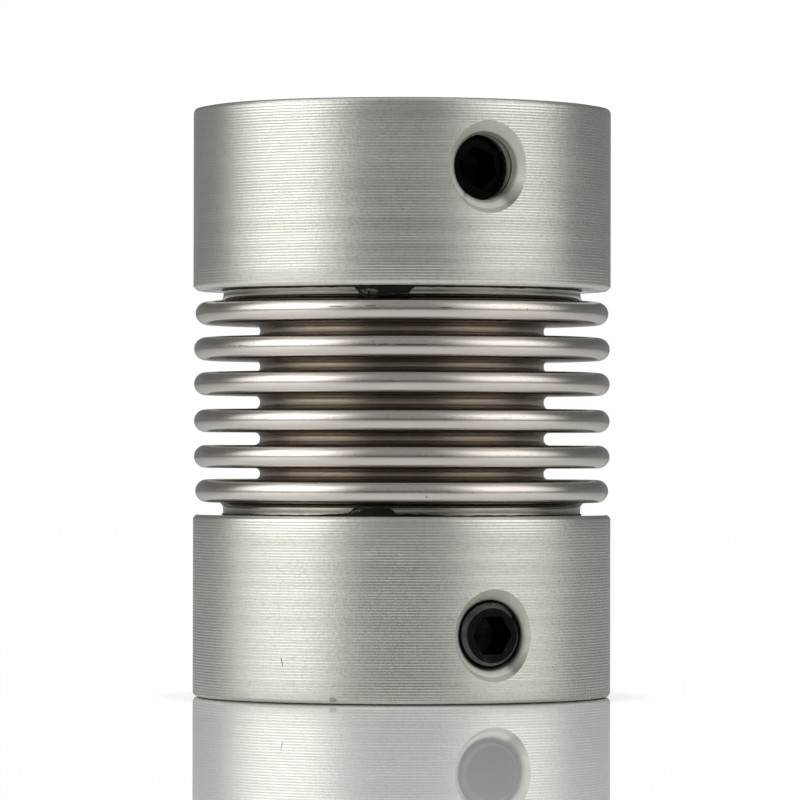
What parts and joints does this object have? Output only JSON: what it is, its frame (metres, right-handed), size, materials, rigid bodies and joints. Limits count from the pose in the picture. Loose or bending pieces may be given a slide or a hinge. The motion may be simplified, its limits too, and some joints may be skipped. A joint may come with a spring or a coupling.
{
  "type": "bellows coupling",
  "caption": "Flexible shaft coupling: round set-screw hubs joined by a thin convoluted metal bellows that takes up misalignment between the shafts.",
  "frame": {"origin": "centre of the lower hub's end face, on the coupling's axis", "axes": "+Z along the coupling's axis from the lower hub to the upper hub; -Y is the front, beside the first screw of each hub"},
  "size_m": [0.025, 0.025, 0.0352],
  "materials": {
    "hub_metal": "turned and clear anodised, satin, with fine turning rings",
    "bellows_metal": "formed stainless sheet, satin, darker in the roots",
    "screw_metal": "black oxide, slightly oily",
    "bond": "cured dark green retaining compound"
  },
  "bodies": {
    "lower_half": {"lower_hub": "hub_metal", "lower_front_screw": "screw_metal", "lower_side_screw": "screw_metal", "lower_bond": "bond", "bellows": "bellows_metal"},
    "upper_half": {"upper_hub": "hub_metal", "upper_front_screw": "screw_metal", "upper_side_screw": "screw_metal", "upper_bond": "bond"}
  },
  "joints": [
    {"name": "bellows_bend", "type": "hinge", "parent": "lower_half", "child": "upper_half", "pos_m": [0, 0, 0.0176], "axis": [0, 1, 0], "range_deg": [-2, 2], "stiffness_Nm_per_rad": 1.2, "deforming": ["bellows"]}
  ]
}
